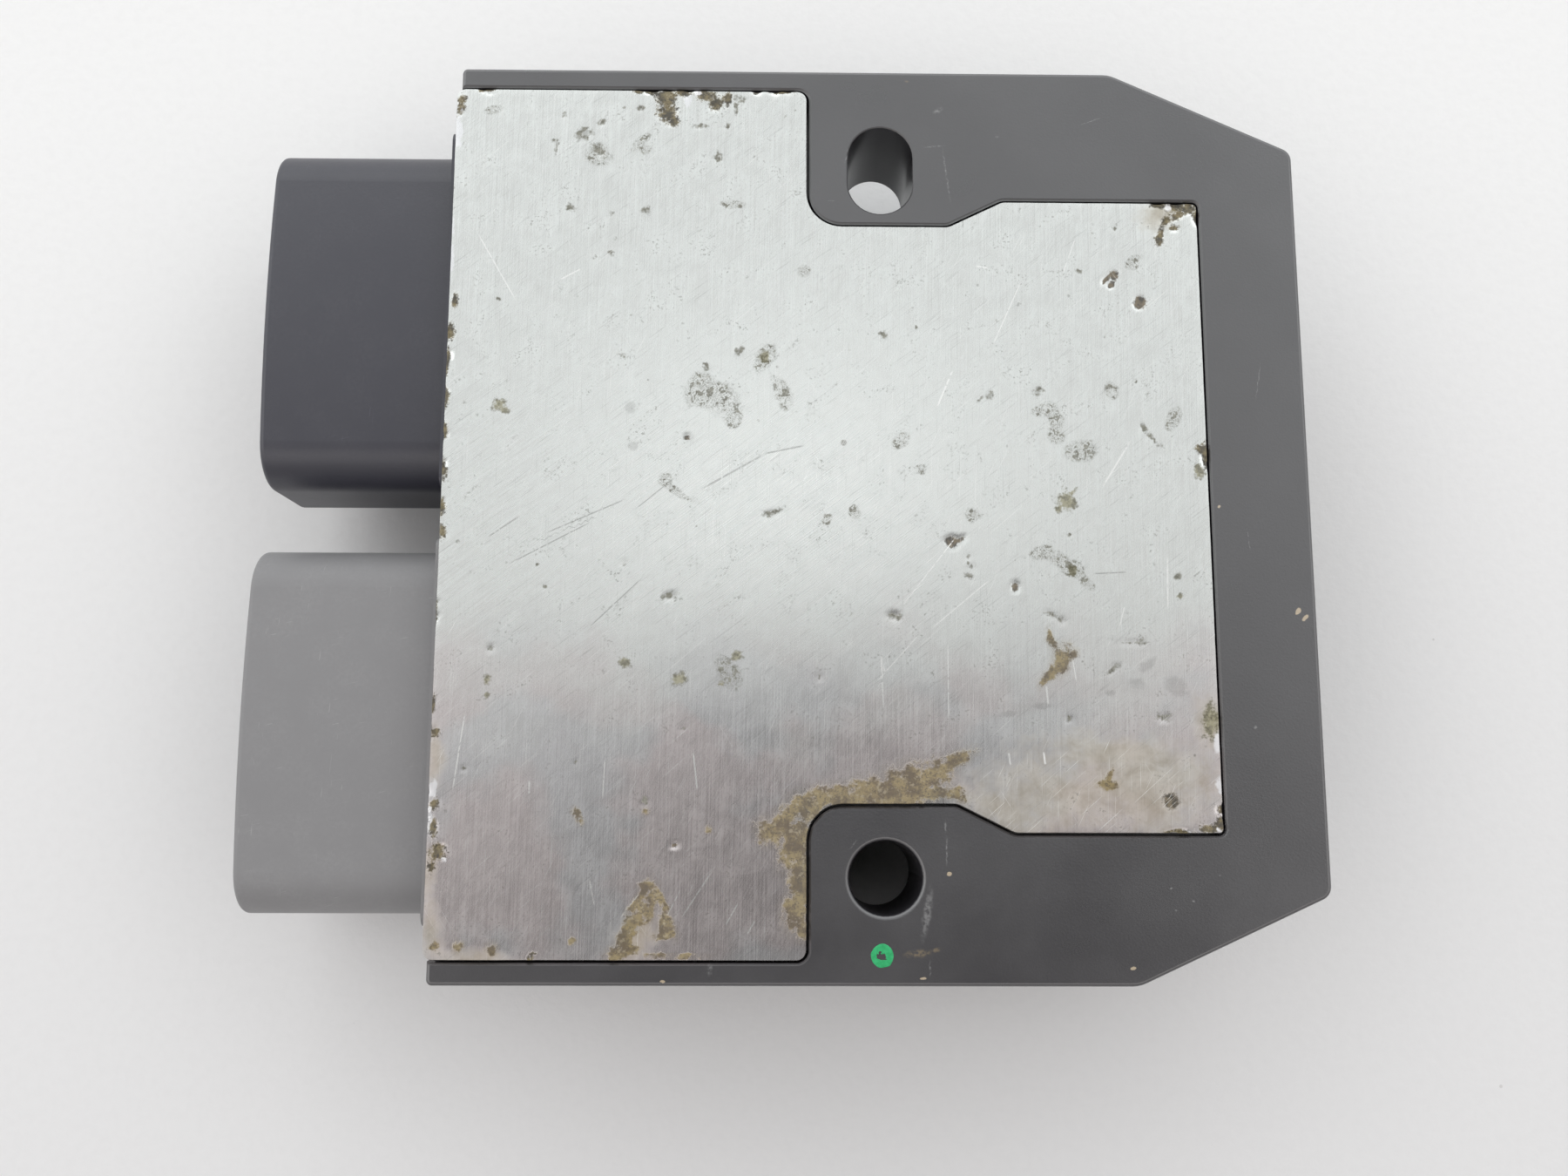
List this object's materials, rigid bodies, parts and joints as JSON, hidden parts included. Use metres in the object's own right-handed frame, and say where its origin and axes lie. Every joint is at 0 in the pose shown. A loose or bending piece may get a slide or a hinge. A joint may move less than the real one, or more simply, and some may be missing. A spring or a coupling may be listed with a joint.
{
  "type": "solid state relay module",
  "caption": "Flat sealed relay module: chamfered plastic housing with ears, inset aluminium cooling plate, and a black and a grey plug header side by side on one end.",
  "frame": {"origin": "on the lid face's plane, under the middle of the whole module's length and width", "axes": "+Z is the outward side of the base plate, +X runs from the header mouths to the far end, +Y is towards the black header"},
  "size_m": [0.0982, 0.085, 0.0261],
  "materials": {
    "housing_plastic": "charcoal grey, fine moulded texture, dusty and scuffed",
    "plate_aluminium": "worn cast or sawn aluminium, scratched, pitted and stained ochre and brown",
    "black_plastic": "black with a slight blue cast, satin moulded",
    "grey_plastic": "mid grey, satin moulded",
    "sealant": "black silicone sealant",
    "pin_plating": "nickel and tin plated brass",
    "pad_silicone": "thermally conductive silicone pad, grey blue",
    "board_laminate": "glass epoxy laminate with green solder mask",
    "chip_epoxy": "black moulding compound",
    "tinned_copper": "tinned copper",
    "can_metal": "drawn metal can",
    "opto_body": "white moulded package",
    "shunt_alloy": "resistance alloy strip",
    "ferrite": "dark grey ferrite",
    "winding_copper": "enamelled copper wire",
    "capacitor_ceramic": "tan ceramic",
    "resistor_body": "black glazed chip",
    "label_film": "plain silver-white polyester film"
  },
  "bodies": {
    "root": {"housing": "housing_plastic", "base_plate": "plate_aluminium", "plate_sealant": "sealant", "black_header": "black_plastic", "grey_header": "grey_plastic", "black_header_pins": "pin_plating", "grey_header_pins": "pin_plating", "black_header_gasket": "sealant", "grey_header_gasket": "sealant", "thermal_pad": "pad_silicone", "circuit_board": "board_laminate", "power_transistors": "chip_epoxy", "transistor_tabs": "tinned_copper", "gate_driver_chips": "chip_epoxy", "microcontroller": "chip_epoxy", "crystal": "can_metal", "voltage_regulator": "chip_epoxy", "surge_suppressors": "chip_epoxy", "opto_isolators": "opto_body", "shunt_resistors": "shunt_alloy", "electrolytic_capacitors": "can_metal", "inductor_core": "ferrite", "inductor_winding": "winding_copper", "ceramic_capacitors": "capacitor_ceramic", "chip_resistors": "resistor_body", "rating_label": "label_film"}
  },
  "joints": []
}
